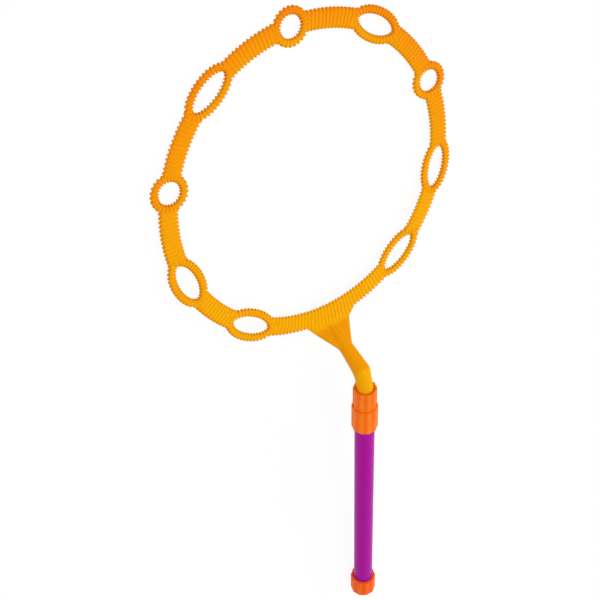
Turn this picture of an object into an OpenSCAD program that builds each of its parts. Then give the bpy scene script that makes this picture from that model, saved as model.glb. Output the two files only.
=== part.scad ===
// Bubble wand: a ribbed hoop with nine bubble rings on a telescopic twist-lock handle.
// The wand lies on a table with the hoop's front facing up. X runs across it, and +Y runs
// along it from the end cap to the hoop. The origin is under the middle of its length.

/* [Hoop] */
// Radius of the circle that the band and its rings are centred on
hoop_r = 126; // [110:1:150]
// Width of the band over the tips of its ribs
band_w = 16.1; // [14:0.1:20]
// Height of a rib over the band's front and back
rib_h = 4.2; // [3.4:0.1:5]
// Height of the smooth core that the ribs wrap round
core_h = 3.2; // [2:0.1:3.2]
// How far a rib's tip stands out past the core
rib_depth = 1.2; // [0.8:0.1:1.8]
// Distance from one rib to the next along the band
rib_pitch = 3.3; // [3:0.1:4]
// Thickness of one rib
rib_t = 1.5; // [1.2:0.1:1.8]

/* [Bubble rings] */
// Wall of a bubble ring, from the tips in its hole to the tips outside
ring_wall = 6.7; // [6:0.1:7.6]
// Outer radius of a round bubble ring
round_r = 15.6; // [14.5:0.1:17]
// Half the length of an oval bubble ring
oval_a = 24.4; // [22:0.1:27]
// Half the width of an oval bubble ring
oval_b = 13.9; // [13:0.1:15]
// Distance from one rib to the next round a ring, at the middle of its wall
ring_pitch = 3.1; // [2.8:0.1:3.6]

/* [Gusset and neck] */
// Width of the gusset where it leaves the band
gusset_w = 50; // [40:1:60]
// Thickness of the gusset
gusset_h = 3; // [2.4:0.1:3.4]
// Distance from the middle of the band to the crease where the gusset turns up
crease_out = 13.3; // [11:0.1:15]
// Width of the gusset at the crease
crease_w = 36; // [32:1:42]
// Angle at which the neck rises out of the hoop's plane
neck_rise = 53.8; // [45:0.2:60]
// Length of the rising neck, from the crease to its knee
neck_len = 46.8; // [44:0.1:56]
// Width of the neck at its root
neck_root_w = 9.4; // [8.4:0.1:12]
// Thickness of the neck at its root
neck_root_h = 5.4; // [4:0.1:9]
// Length along the neck over which the gusset narrows onto it
web_len = 29; // [22:0.5:34]
// Angle at which the shank runs on from the knee
shank_rise = 8.5; // [6:0.5:20]
// Length of the shank, from the knee to the handle's line
shank_len = 15.3; // [13:0.1:18]
// Radius of the bend onto the handle's line
ankle_r = 11; // [8:0.5:18]

/* [Inner tube] */
// Diameter of the neck's end and of the inner tube that carries it
stem_d = 14; // [13.4:0.1:14.2]
// Wall of the inner tube
stem_wall = 1.2; // [0.9:0.1:1.6]
// Length of the inner tube
stem_len = 214; // [150:1:225]
// Depth of the inner tube's end below the nut's mouth, with the handle closed
seat_drop = 4; // [3:0.5:6]
// Length of the spigot that holds the hoop in the inner tube
spigot_len = 22; // [14:1:30]
// Height of the stop foot's flange
foot_flange_h = 3; // [2:0.5:5]
// Length of the stop foot's plug in the inner tube
foot_plug_len = 12; // [8:1:18]

/* [Handle] */
// Angle at which the handle leans back toward the hoop's plane
handle_lean = 9.8; // [6:0.2:14]
// Outer diameter of the handle tube
tube_d = 17.4; // [17.2:0.1:18]
// Wall of the handle tube
tube_wall = 0.9; // [0.8:0.1:1]
// Length of the handle tube that shows between the ferrule and the end cap
tube_seen = 215.1; // [200:0.1:260]

/* [Twist lock] */
// Diameter of the ferrule over its ridges
ferrule_d = 22.6; // [21:0.1:24]
// Length of the ferrule's fluted sleeve
ferrule_h = 25.6; // [20:0.1:30]
// Length of the handle tube inside the ferrule
ferrule_grip = 18; // [12:0.5:19]
// Length of the ferrule's threaded neck inside the nut
thread_len = 11; // [8:0.5:12]
// Wall of the ferrule's threaded neck
thread_wall = 0.9; // [0.8:0.1:1]
// Diameter of the clamp nut over its ridges
nut_d = 20.4; // [19.8:0.1:21]
// Length of the clamp nut
nut_h = 20.4; // [19.6:0.1:26]
// Length of the collet
collet_h = 6; // [5:0.2:6.6]
// Width of the split in the collet
collet_split = 1.2; // [0.8:0.1:2]
// Number of flutes round the nut, the ferrule and the end cap
flutes = 10; // [8:1:12]
// Depth of a flute below its ridges
flute_depth = 0.7; // [0.5:0.05:0.75]

/* [End cap] */
// Diameter of the end cap over its ridges
cap_d = 23.2; // [21:0.1:25]
// Length of the end cap
cap_h = 18.7; // [13:0.1:22]
// Thickness of the end cap's floor
cap_floor = 2.2; // [1.5:0.1:3]
// Height of the ring that plugs the handle tube
plug_h = 8; // [5:0.5:10]

/* [Fits] */
// Radial gap where a part slides or a thread turns
slide_gap = 0.15; // [0.1:0.01:0.2]
// Radial gap of a part that turns on its pin
turn_gap = 0.05; // [0.02:0.01:0.08]
// Radial gap of a joint that is pressed or glued
press_gap = 0.03; // [0.02:0.01:0.05]
// Chamfer on the edges of the turned parts
edge = 0.8; // [0.5:0.1:1]

/* [Hidden] */

$fn = 48;
overrun = 1;

// Ten stations stand at even angles round the hoop, clockwise from the far end.
STATIONS = [
    "round", "oval", "round", "oval", "oval", "neck", "oval", "oval", "round", "oval"
];
station_step = 360 / len(STATIONS);

// Hoop section
core_w = band_w - 2 * rib_depth;
rib_crown_share = 0.75;
rib_edge_share = 0.5;
band_ribs = round(2 * PI * hoop_r / rib_pitch);
ellipse_sides = 48;

// Gusset and neck
web_tip_share = 0.13;
neck_roundness = 0.62;
neck_sides = 24;
turn_steps = 5;

// Neck path, as [y, z] in the hoop's plane frame
function heading(rise) = [-cos(rise), sin(rise)];
function square_to(rise) = [sin(rise), cos(rise)];
crease_y = -(hoop_r + crease_out);
knee = [crease_y, 0] + neck_len * heading(neck_rise);
ankle = knee + shank_len * heading(shank_rise);
ankle_turn = shank_rise + handle_lean;
ankle_reach = ankle_r * tan(ankle_turn / 2);
mouth = ankle + ankle_reach * heading(-handle_lean);

// Heights along the handle, from the outer face of the end cap
tube_bore_r = tube_d / 2 - tube_wall;
stem_r = stem_d / 2;
stem_bore_r = stem_r - stem_wall;
ferrule_z = cap_h + tube_seen;
tube_top = ferrule_z + ferrule_grip;
shoulder_top = ferrule_z + ferrule_h;
thread_top = shoulder_top + thread_len;
nut_z = shoulder_top + slide_gap;
mouth_z = nut_z + nut_h;
stem_top = mouth_z - seat_drop;
stem_z = stem_top - stem_len;
guide_r = stem_r + slide_gap;
thread_r = guide_r + thread_wall;
nut_bore_r = thread_r + slide_gap;
lip_r = guide_r + 2 * slide_gap;

// Flutes are cut by round bars. Half a flute's angle reaches to the near edge of a ridge.
flute_share = 1 / 3;
function flute_reach(d) = d / 2 - flute_depth + d * flute_share;
function flute_half_angle(d) =
    let (reach = flute_reach(d), r = d / 2, bar = d * flute_share)
        min(180 / flutes, acos((reach * reach + r * r - bar * bar) / (2 * reach * r)));

// The wand rests on the far ring's back and on the near edges of two ridges of the end cap.
handle_end = mouth + mouth_z * heading(-handle_lean);
ridge_low_r = cap_d / 2 * cos(flute_half_angle(cap_d));
cap_rest = handle_end - edge * heading(-handle_lean)
    + ridge_low_r * [sin(handle_lean), -cos(handle_lean)];
rib_tip_run = ring_wall / 2 * (1 - rib_crown_share);
far_rest = [hoop_r + round_r - rib_tip_run, -rib_h / 2];
rest_tilt = -atan2(far_rest[1] - cap_rest[1], far_rest[0] - cap_rest[0]);
function tilted(p) = [
    p[0] * cos(rest_tilt) - p[1] * sin(rest_tilt),
    p[0] * sin(rest_tilt) + p[1] * cos(rest_tilt)
];
far_y = tilted([hoop_r + round_r, 0])[0];
near_y = tilted(handle_end)[0] - (cap_d / 2 - edge) * sin(handle_lean + rest_tilt);
frame_y = -(far_y + near_y) / 2;
frame_z = -tilted(far_rest)[1];

// Places its children, drawn flat round the hoop's centre, in the wand's frame
module in_hoop() {
    translate([0, frame_y, frame_z])
        rotate([rest_tilt, 0, 0])
            children();
}

// Places its children, drawn upright on the end cap's outer face, on the handle's line
module in_handle() {
    in_hoop()
        translate([0, handle_end[0], handle_end[1]])
            rotate([handle_lean - 90, 0, 0])
                children();
}

// Places its children at the nut's mouth, on the handle's line, in the hoop's frame
module in_mouth() {
    translate([0, mouth[0], mouth[1]])
        rotate([handle_lean - 90, 0, 0])
            children();
}

// Places its children at a station of the hoop, with +Y outwards
module at_angle(angle) {
    rotate([0, 0, -angle])
        translate([0, hoop_r, 0])
            children();
}

// One rib, across the band along Y, with chamfered edges, and longer outwards where it is told
module rib(width, more = 0) {
    half = width / 2;
    crown = half * rib_crown_share;
    low = rib_h / 2 * rib_edge_share;
    high = rib_h / 2;
    rotate([90, 0, 90])
        linear_extrude(rib_t, center = true)
            polygon([
                [-half, -low], [-crown, -high], [crown + more, -high], [half + more, -low],
                [half + more, low], [crown + more, high], [-crown, high], [-half, low]
            ]);
}

function ellipse_point(a, b, t) = [a * cos(t), b * sin(t)];
function ellipse_points(a, b) = [
    for (i = [0:ellipse_sides - 1]) ellipse_point(a, b, 360 * i / ellipse_sides)
];

// Running length round an ellipse against the angle reached, for even rib spacing
function arc_table(a, b, n) = [
    for (
        i = 0, s = 0;
        i <= n;
        s = s + norm(ellipse_point(a, b, 360 * (i + 1) / n) - ellipse_point(a, b, 360 * i / n)),
        i = i + 1
    ) [s, 360 * i / n]
];

function ring_a(kind) = kind == "oval" ? oval_a : round_r;
function ring_b(kind) = kind == "oval" ? oval_b : round_r;

// A solid ellipse as thick as the core or the ribs, drawn in by a step from the ring's outline
module ring_disc(kind, inset, height) {
    if (kind == "round")
        cylinder(h = height, r = round_r - inset, center = true);
    else
        linear_extrude(height, center = true)
            polygon(ellipse_points(oval_a - inset, oval_b - inset));
}

// Ribs square to a ring's wall, evenly spaced along its middle
module ring_ribs(kind) {
    a = ring_a(kind) - ring_wall / 2;
    b = ring_b(kind) - ring_wall / 2;
    table = arc_table(a, b, 6 * ellipse_sides);
    girth = table[len(table) - 1][0];
    count = round(girth / ring_pitch);
    for (i = [0:count - 1]) {
        t = lookup(girth * i / count, table);
        translate(ellipse_point(a, b, t))
            rotate([0, 0, atan2(a * sin(t), b * cos(t)) - 90])
                rib(ring_wall);
    }
}

// Angle from the nearest station, and that station's number
function station_near(angle) = round(angle / station_step) % len(STATIONS);
function station_offset(angle) = abs(angle - round(angle / station_step) * station_step);
function across(angle) = hoop_r * sin(station_offset(angle));
function ring_reach(kind) = kind == "neck" ? 0 : ring_a(kind) + rib_t / 2;
function edge_reach(kind) = kind == "neck" ? 0
    : ring_a(kind) * sqrt(1 - pow(band_w / 2 / ring_b(kind), 2));
rib_angles = [for (i = [0:band_ribs - 1]) 360 * (i + 0.5) / band_ribs];

// How far past the band the gusset's flat part reaches: out to its crease or to its slanted side
gusset_root_y = sqrt(pow(hoop_r + core_w / 2, 2) - pow(gusset_w / 2, 2));
function flat_reach(offset) =
    let (
        side_run = -crease_y - gusset_root_y,
        side_narrow = (gusset_w - crease_w) / 2,
        to_crease = -crease_y / cos(offset),
        to_side = (side_run * crease_w / 2 - side_narrow * crease_y)
            / (side_run * sin(offset) + side_narrow * cos(offset))
    )
        max(0, min(to_crease, to_side) - hoop_r - band_w / 2);

// Whole ribs on the open band, longer ones that run on over the gusset to its crease, and
// shorter ones where the band runs into a ring
module band_rib_set() {
    for (angle = rib_angles) {
        kind = STATIONS[station_near(angle)];
        more = kind == "neck" ? flat_reach(station_offset(angle)) : 0;
        if (across(angle) > ring_reach(kind))
            at_angle(angle)
                rib(band_w, more);
    }
    for (s = [0:len(STATIONS) - 1]) {
        kind = STATIONS[s];
        if (kind != "neck")
            difference() {
                for (angle = rib_angles)
                    if (station_near(angle) == s && across(angle) <= ring_reach(kind)
                        && across(angle) > edge_reach(kind))
                        at_angle(angle)
                            rib(band_w);
                at_angle(s * station_step)
                    ring_disc(kind, rib_depth, rib_h + 2 * overrun);
            }
    }
}

// The smooth core of the band and the rings, pierced by the bubble holes
module hoop_core() {
    difference() {
        union() {
            difference() {
                cylinder(h = core_h, r = hoop_r + core_w / 2, center = true, $fn = 180);
                cylinder(h = core_h + 2 * overrun, r = hoop_r - core_w / 2, center = true, $fn = 180);
            }
            for (s = [0:len(STATIONS) - 1])
                if (STATIONS[s] != "neck")
                    at_angle(s * station_step)
                        ring_disc(STATIONS[s], rib_depth, core_h);
        }
        for (s = [0:len(STATIONS) - 1])
            if (STATIONS[s] != "neck")
                at_angle(s * station_step)
                    ring_disc(STATIONS[s], ring_wall - rib_depth, core_h + 2 * overrun);
    }
}

// The gusset: a plate that runs on from the band and turns up at its crease. Its side
// profile is cut to its outline from above.
module gusset() {
    half = gusset_h / 2;
    root_y = -gusset_root_y;
    mitre = half * tan(neck_rise / 2);
    top_side = half * square_to(neck_rise);
    web_end = [crease_y, 0] + web_len * heading(neck_rise);
    tip = [web_tip_share * crease_w / 2, web_end[0]];
    intersection() {
        rotate([90, 0, 90])
            linear_extrude(gusset_w + overrun, center = true)
                polygon([
                    [-hoop_r, half], [crease_y + mitre, half], web_end + top_side,
                    web_end - top_side, [crease_y - mitre, -half], [-hoop_r, -half]
                ]);
        translate([0, 0, -gusset_h])
            linear_extrude(2 * gusset_h + web_len)
                polygon([
                    [gusset_w / 2, -hoop_r], [gusset_w / 2, root_y], [crease_w / 2, crease_y],
                    tip, [-tip[0], tip[1]],
                    [-crease_w / 2, crease_y], [-gusset_w / 2, root_y], [-gusset_w / 2, -hoop_r]
                ]);
    }
}

// Stations along the neck's centre line, each [y, z, slope, width, thickness, roundness]. The
// knee is a mitre, so its section lies half way round the bend and is that much taller.
knee_rise = (neck_rise + shank_rise) / 2;
knee_h = stem_d / cos(neck_rise - knee_rise);
ankle_start = ankle - ankle_reach * heading(shank_rise);
neck_stations = concat(
    [[crease_y, 0, neck_rise, neck_root_w, neck_root_h, neck_roundness]],
    [concat(knee, [knee_rise, stem_d, knee_h, neck_roundness])],
    [concat(knee + stem_d / 2 * heading(shank_rise), [shank_rise, stem_d, stem_d, 1])],
    [
        for (i = [0:turn_steps])
            let (a = ankle_turn * i / turn_steps)
                concat(
                    ankle_start + ankle_r * sin(a) * heading(shank_rise)
                        - ankle_r * (1 - cos(a)) * square_to(shank_rise),
                    [shank_rise - a, stem_d, stem_d, 1]
                )
    ],
    [concat(mouth + seat_drop * heading(-handle_lean), [-handle_lean, stem_d, stem_d, 1])]
);

// A ring of the neck: a circle at roundness 1, and nearer a square as it falls
function soft(c, roundness) = sign(c) * pow(abs(c), roundness);
function neck_ring(station) = [
    for (i = [0:neck_sides - 1])
        let (
            t = 360 * (i + 0.5) / neck_sides,
            across = station[3] / 2 * soft(cos(t), station[5]),
            up = station[4] / 2 * soft(sin(t), station[5])
        )
            [across, station[0] + up * sin(station[2]), station[1] + up * cos(station[2])]
];

// The first ring is carried back along the neck to a level inside the gusset.
function root_ring(ring, level) = [
    for (p = ring)
        let (back = (level - p[2]) / sin(neck_rise))
            [p[0], p[1] - back * cos(neck_rise), level]
];

// The neck rises from the crease and bends onto the handle's line.
module neck() {
    rings = [
        for (i = [0:len(neck_stations) - 1])
            let (ring = neck_ring(neck_stations[i]))
                i == 0 ? root_ring(ring, -gusset_h / 3) : ring
    ];
    last = len(rings) - 1;
    n = neck_sides;
    sides = [
        for (i = [0:last - 1], j = [0:n - 1])
            let (a = i * n + j, b = i * n + (j + 1) % n)
                each [[a, b + n, b], [a, a + n, b + n]]
    ];
    polyhedron(
        points = [for (ring = rings) each ring],
        faces = concat(
            sides,
            [[for (j = [0:n - 1]) j], [for (j = [n - 1:-1:0]) last * n + j]]
        ),
        convexity = 4
    );
}

// The spigot that the inner tube is pressed on
module spigot() {
    spigot_r = stem_bore_r - press_gap;
    root = seat_drop / 2;
    tip = seat_drop + spigot_len;
    in_mouth()
        rotate([180, 0, 0])
            rotate_extrude()
                polygon([
                    [0, root], [spigot_r, root], [spigot_r, tip - edge],
                    [spigot_r - edge, tip], [0, tip]
                ]);
}

module hoop() {
    color("#F2A30A")
        in_hoop() {
            hoop_core();
            band_rib_set();
            for (s = [0:len(STATIONS) - 1])
                if (STATIONS[s] != "neck")
                    at_angle(s * station_step)
                        ring_ribs(STATIONS[s]);
            gusset();
            neck();
            spigot();
        }
}

module inner_tube() {
    color("#F2A30A")
        in_handle()
            translate([0, 0, stem_z])
                difference() {
                    cylinder(h = stem_len, r = stem_r);
                    translate([0, 0, -overrun])
                        cylinder(h = stem_len + 2 * overrun, r = stem_bore_r);
                }
}

// The flange stops against the ferrule, and the plug turns in the inner tube's end.
module stop_foot() {
    flange_r = tube_bore_r - slide_gap;
    plug_r = stem_bore_r - turn_gap;
    color("#F4F0E6")
        in_handle()
            translate([0, 0, stem_z])
                rotate_extrude()
                    polygon([
                        [0, -foot_flange_h], [flange_r - edge, -foot_flange_h],
                        [flange_r, edge - foot_flange_h], [flange_r, 0], [plug_r, 0],
                        [plug_r, foot_plug_len - edge], [plug_r - edge, foot_plug_len],
                        [0, foot_plug_len]
                    ]);
}

// Cutters for the flutes round a body of the given diameter, with one flute facing down
module flute_cutters(d, height) {
    for (i = [0:flutes - 1])
        rotate([0, 0, 90 + 360 * i / flutes])
            translate([flute_reach(d), 0, -overrun])
                cylinder(h = height + 2 * overrun, r = d * flute_share);
}

// Split cone ring between the ferrule's end and the nut
module collet() {
    bore_r = stem_r + turn_gap;
    outer_r = nut_bore_r - slide_gap;
    tip_r = lip_r - slide_gap;
    color("#F4F0E6")
        in_handle()
            translate([0, 0, thread_top])
                difference() {
                    rotate_extrude()
                        polygon([
                            [bore_r, 0], [outer_r, 0], [outer_r, collet_h / 2], [tip_r, collet_h],
                            [bore_r, collet_h]
                        ]);
                    translate([-collet_split / 2, -tube_d, -overrun])
                        cube([collet_split, tube_d, collet_h + 2 * overrun]);
                }
}

module clamp_nut() {
    cone_z = thread_top - nut_z + collet_h / 2;
    cone_top = cone_z + collet_h / 2;
    color("#F07820")
        in_handle()
            translate([0, 0, nut_z])
                difference() {
                    rotate_extrude()
                        polygon([
                            [nut_bore_r, 0], [nut_d / 2 - edge / 2, 0], [nut_d / 2, edge / 2],
                            [nut_d / 2, nut_h - edge / 2], [nut_d / 2 - edge / 2, nut_h],
                            [lip_r + edge / 2, nut_h], [lip_r, nut_h - edge / 2],
                            [lip_r, cone_top], [nut_bore_r, cone_z]
                        ]);
                    flute_cutters(nut_d, nut_h);
                }
}

module ferrule() {
    socket_r = tube_d / 2 + press_gap;
    color("#F07820")
        in_handle()
            translate([0, 0, ferrule_z]) {
                difference() {
                    rotate_extrude()
                        polygon([
                            [socket_r, 0], [ferrule_d / 2 - edge / 2, 0],
                            [ferrule_d / 2, edge / 2], [ferrule_d / 2, ferrule_h - edge / 2],
                            [ferrule_d / 2 - edge / 2, ferrule_h], [guide_r, ferrule_h],
                            [guide_r, ferrule_grip], [socket_r, ferrule_grip]
                        ]);
                    flute_cutters(ferrule_d, ferrule_h);
                }
                translate([0, 0, ferrule_h])
                    rotate_extrude()
                        polygon([
                            [guide_r, 0], [thread_r, 0], [thread_r, thread_len],
                            [guide_r, thread_len]
                        ]);
            }
}

module handle_tube() {
    color("#A00E90")
        in_handle()
            translate([0, 0, cap_floor])
                difference() {
                    cylinder(h = tube_top - cap_floor, d = tube_d);
                    translate([0, 0, -overrun])
                        cylinder(h = tube_top - cap_floor + 2 * overrun, r = tube_bore_r);
                }
}

module end_cap() {
    socket_r = tube_d / 2 + press_gap;
    plug_r = tube_bore_r - press_gap;
    plug_bore_r = plug_r - 2 * tube_wall;
    color("#EC6018")
        in_handle()
            difference() {
                rotate_extrude()
                    polygon([
                        [0, 0], [cap_d / 2 - edge, 0], [cap_d / 2, edge],
                        [cap_d / 2, cap_h - edge / 2], [cap_d / 2 - edge / 2, cap_h],
                        [socket_r, cap_h], [socket_r, cap_floor], [plug_r, cap_floor],
                        [plug_r, cap_floor + plug_h], [plug_bore_r, cap_floor + plug_h],
                        [plug_bore_r, cap_floor], [0, cap_floor]
                    ]);
                flute_cutters(cap_d, cap_h);
            }
}

hoop();
inner_tube();
stop_foot();
clamp_nut();
collet();
ferrule();
handle_tube();
end_cap();
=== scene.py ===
import math

import bpy
import numpy as np
from mathutils import Matrix, Vector


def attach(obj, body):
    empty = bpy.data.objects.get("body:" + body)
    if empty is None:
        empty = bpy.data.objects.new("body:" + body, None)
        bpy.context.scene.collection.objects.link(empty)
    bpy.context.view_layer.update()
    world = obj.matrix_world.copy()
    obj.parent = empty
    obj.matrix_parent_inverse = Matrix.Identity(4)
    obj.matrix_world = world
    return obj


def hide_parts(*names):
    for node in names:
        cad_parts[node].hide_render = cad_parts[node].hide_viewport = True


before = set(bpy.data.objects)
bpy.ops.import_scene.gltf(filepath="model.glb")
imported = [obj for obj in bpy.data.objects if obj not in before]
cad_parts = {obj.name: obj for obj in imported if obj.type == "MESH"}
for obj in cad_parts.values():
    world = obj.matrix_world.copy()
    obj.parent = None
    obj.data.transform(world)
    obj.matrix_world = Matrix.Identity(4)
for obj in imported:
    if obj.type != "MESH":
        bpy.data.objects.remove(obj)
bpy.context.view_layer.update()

# ---------------------------------------------------------------- The ribbed band
# The band is the large hoop that is dipped in the tray: injection moulded polypropylene in
# a yellow-orange. A smooth flat core is wrapped by close ribs, which hold the soap by their
# grooves, and all the hoop's parts come out of one mould with it.
hoop_centre = (0.0, 0.159859, 0.00606468)
hoop_tilt = math.radians(-1.61433)
hoop_radius = 126.0
band_half = 8.05
rib_half_height = 2.1
core_half_height = 1.6
rib_depth = 1.2
rib_count = 240
band_columns = 24
width_power = 0.6
height_power = 0.5
stations = ["round", "oval", "round", "oval", "oval", "neck", "oval", "oval", "round", "oval"]
station_step = 360.0 / len(stations)
ring_half_sizes = {"round": (15.6, 15.6), "oval": (24.4, 13.9)}
ring_end = {"round": 11.6, "oval": 18.9}
neck_angle = 180.0
gusset_half_width = 25.0
crease_out = 13.3
crease_half_width = 18.0

# Where the band runs into a ring: how softly the two outlines join, in square millimetres, how
# far the band's edge sinks, and between which distances from the ring's outline, in
# millimetres, the ribs and then a share of the core's height sink.
join_softness = 1.0
edge_sink = 4.0
ribs_sink_between = (-0.9, 0.5)
core_sinks_between = (-1.0, -2.6)
core_sink_share = 0.3

# Places of the grid lines within one rib, as shares of its pitch, and how far the surface
# has risen there from the groove (0) to the rib's tip (1).
rib_places = np.array(
    [-0.32, -0.275, -0.235, -0.195, -0.13, 0.0, 0.13, 0.195, 0.235, 0.275, 0.32, 0.5])
rib_rises = np.array(
    [0.02, 0.12, 0.5, 0.86, 0.985, 1.0, 0.985, 0.86, 0.5, 0.12, 0.02, 0.0])

# Shares of painted shade, a darker redder tone: on a wall that faces outward or inward, in the
# grooves, and round the far end, with its slope across the band, the swing of that slope and the
# angle of its middle.
outward_tone = 0.6
inward_tone = 0.2
groove_tone = 0.3
far_tone = 0.6
tone_slope = 0.05
tone_slope_swing = 0.12
far_shade_angle = math.radians(10.0)


def lie_down(points):
    """Turn points about X by the hoop's tilt, shift them to the hoop's centre, and go from
    millimetres to metres."""
    c, s = math.cos(hoop_tilt), math.sin(hoop_tilt)
    x, y, z = points[..., 0], points[..., 1], points[..., 2]
    turned = np.stack([x, y * c - z * s, y * s + z * c], axis=-1)
    return turned * 0.001 + np.array(hoop_centre)


def smooth_step(low, high, value):
    """t = (value - low) / (high - low) held to 0..1, then 3 t^2 - 2 t^3."""
    t = np.clip((value - low) / (high - low), 0.0, 1.0)
    return t * t * (3.0 - 2.0 * t)


def soft_power(wave, power):
    """sign(wave) * |wave|^power: a circle's sine or cosine bent towards a rounded square."""
    return np.sign(wave) * np.abs(wave) ** power


def painted_wall_shade(outward, rise):
    """How much painted shade, a darker redder tone, a point takes, from the cosine of its place
    round the section and the rib's rise: most on the outward wall, less on the inward one and
    in the grooves, where walls and hollows would lie in shade."""
    wall = outward_tone * smooth_step(0.5, 0.95, outward)
    wall = wall + inward_tone * smooth_step(0.5, 0.95, -outward)
    return np.maximum(wall, groove_tone * (1.0 - rise))


def far_shade_share(turn, across):
    """How much painted shade, a darker redder tone, lies at an angle clockwise from the far end
    and a place across the band, from -1 inward to 1 outward: a smooth step of the cosine of
    the angle from the shade's own middle, most round the far end and next to none near the
    neck, with a slope across the band that goes by the same cosine."""
    around = np.cos(turn - far_shade_angle)
    share = far_tone * smooth_step(-1.1, 0.7, around)
    return np.clip(share + (tone_slope + tone_slope_swing * around) * across, 0.0, 1.0)


def skin(name, grids, **masks):
    """One mesh from several grids. A grid has rows along the piece and columns round it; each
    four neighbours make a face, the last column joins the first, and each end is closed by a
    fan to the middle of its row unless the last row joins the first. Each mask holds a value
    for every point of every grid, and becomes an attribute of the mesh by its name."""
    verts, faces, base = [], [], 0
    values = {mask: [] for mask in masks}
    for number, (grid, closed) in enumerate(grids):
        rows, cols = grid.shape[:2]
        index = np.arange(rows * cols).reshape(rows, cols) + base
        if closed:
            index = np.vstack([index, index[:1]])
        a, b = index[:-1], index[1:]
        quads = np.stack([a, b, np.roll(b, -1, 1), np.roll(a, -1, 1)], axis=-1)
        faces.extend(quads.reshape(-1, 4).tolist())
        verts.append(grid.reshape(-1, 3))
        for mask, parts in masks.items():
            values[mask].append(parts[number].reshape(-1))
        base += rows * cols
        if not closed:
            for row, turned in ((index[0], False), (index[-1], True)):
                verts.append(grid[-1 if turned else 0].mean(0, keepdims=True))
                for parts in values.values():
                    parts.append(np.zeros(1))
                after = np.roll(row, -1)
                fan = [row, after] if turned else [after, row]
                fan = np.stack([*fan, np.full(cols, base)], axis=-1)
                faces.extend(fan.tolist())
                base += 1
    mesh = bpy.data.meshes.new(name)
    mesh.from_pydata(np.vstack(verts).tolist(), [], faces)
    for mask, parts in values.items():
        layer = mesh.attributes.new(mask, "FLOAT", "POINT")
        layer.data.foreach_set("value", np.concatenate(parts).astype(np.float32))
    mesh.shade_smooth()
    mesh.update()
    piece = bpy.data.objects.new(name, mesh)
    bpy.context.scene.collection.objects.link(piece)
    return piece


def ring_distance(x, y, kind):
    """How far a point lies outside a ring's outline, about: with q the root of (x/a)^2 +
    (y/b)^2, it is (q - 1) over the slope of q."""
    a, b = ring_half_sizes[kind]
    q = np.sqrt((x / a) ** 2 + (y / b) ** 2) + 1e-9
    slope = np.sqrt((x / a**2) ** 2 + (y / b**2) ** 2) / q + 1e-9
    return (q - 1.0) / slope


def flat_reach(offset):
    """How far past the band the gusset's flat part reaches at an angle from the neck: out to
    the line of its crease or of its slanted side, whichever is nearer."""
    y_crease = hoop_radius + crease_out
    y_root = math.sqrt((hoop_radius + band_half - rib_depth) ** 2 - gusset_half_width**2)
    run, narrow = y_crease - y_root, gusset_half_width - crease_half_width
    to_crease = y_crease / np.cos(offset)
    to_side = run * crease_half_width + narrow * y_crease
    to_side = to_side / (run * np.sin(offset) + narrow * np.cos(offset))
    return np.clip(np.minimum(to_crease, to_side) - hoop_radius - band_half, 0.0, None)


def band_arc(first, last, first_kind, last_kind):
    """The band from one ring to the next: at each angle a rounded rectangle, cos^0.6 wide by
    sin^0.5 high, whose half sizes go from the core's to the ribs' by the rib's rise. Its edge
    e runs out smoothly into each ring's outline o, by the smooth larger one of the two,
    (e + o + ((e - o)^2 + softness)^0.5) / 2, and the ribs and then the core sink as they pass
    inside the ring. Past the neck the ribs run on over the gusset to its crease. Gives the
    points, the ribs' rise for the mask of wear on their crests, and the share of painted shade."""
    places = np.arange(rib_count)[:, None] + 0.5 + rib_places[None, :]
    angles = (places * 360.0 / rib_count).reshape(-1)
    rises = np.tile(rib_rises, rib_count)
    low = first + math.degrees(math.asin(ring_end[first_kind] / hoop_radius))
    high = last - math.degrees(math.asin(ring_end[last_kind] / hoop_radius))
    kept = (angles > low) & (angles < high)
    angles, rises = angles[kept][:, None], rises[kept][:, None]
    near_first = angles - first < last - angles
    x = hoop_radius * np.sin(np.radians(np.where(near_first, angles - first, last - angles)))
    a = np.where(near_first, ring_half_sizes[first_kind][0], ring_half_sizes[last_kind][0])
    b = np.where(near_first, ring_half_sizes[first_kind][1], ring_half_sizes[last_kind][1])
    outline = b * np.sqrt(np.clip(1.0 - (x / a) ** 2, 0.0, 1.0))
    edge = 0.5 * (band_half + outline + np.sqrt((band_half - outline) ** 2 + join_softness))
    edge_x = a * np.sqrt(1.0 - (band_half / b) ** 2)
    edge = edge - np.clip(edge_x - x, 0.0, edge_sink)
    t = np.linspace(0.0, 2.0 * np.pi, band_columns, endpoint=False)[None, :]
    across = soft_power(np.cos(t), width_power)
    y = edge * across
    d = np.where(near_first, ring_distance(x, y, first_kind), ring_distance(x, y, last_kind))
    rise = rises * smooth_step(*ribs_sink_between, d)
    side = edge - rib_depth * (1.0 - rise)
    height = core_half_height + (rib_half_height - core_half_height) * rise
    height = height * (1.0 - core_sink_share * smooth_step(*core_sinks_between, d))
    more = flat_reach(np.abs(np.radians(angles - neck_angle))) * rise
    r = hoop_radius + (side + np.where(np.cos(t) > 0.0, more, 0.0)) * across
    z = height * soft_power(np.sin(t), height_power)
    turn = np.radians(angles)
    wall = np.maximum(painted_wall_shade(np.cos(t), rises), far_shade_share(turn, across))
    return np.stack([r * np.sin(turn), r * np.cos(turn), z + 0.0 * turn], axis=-1), rise, wall


arcs = []
ring_numbers = [i for i, kind in enumerate(stations) if kind != "neck"]
for here, there in zip(ring_numbers, ring_numbers[1:] + [len(stations)]):
    arcs.append(band_arc(here * station_step, there * station_step, stations[here],
                         stations[there % len(stations)]))
band = skin("ribbed_band", [(lie_down(grid), False) for grid, _, _ in arcs],
            rubbed=[rise for _, rise, _ in arcs], wall=[wall for _, _, wall in arcs])


def new_material(name):
    """A new material, its node tree and its Principled shader."""
    material = bpy.data.materials.new(name)
    material.use_nodes = True
    tree = material.node_tree
    return material, tree, tree.nodes["Principled BSDF"]


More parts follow.
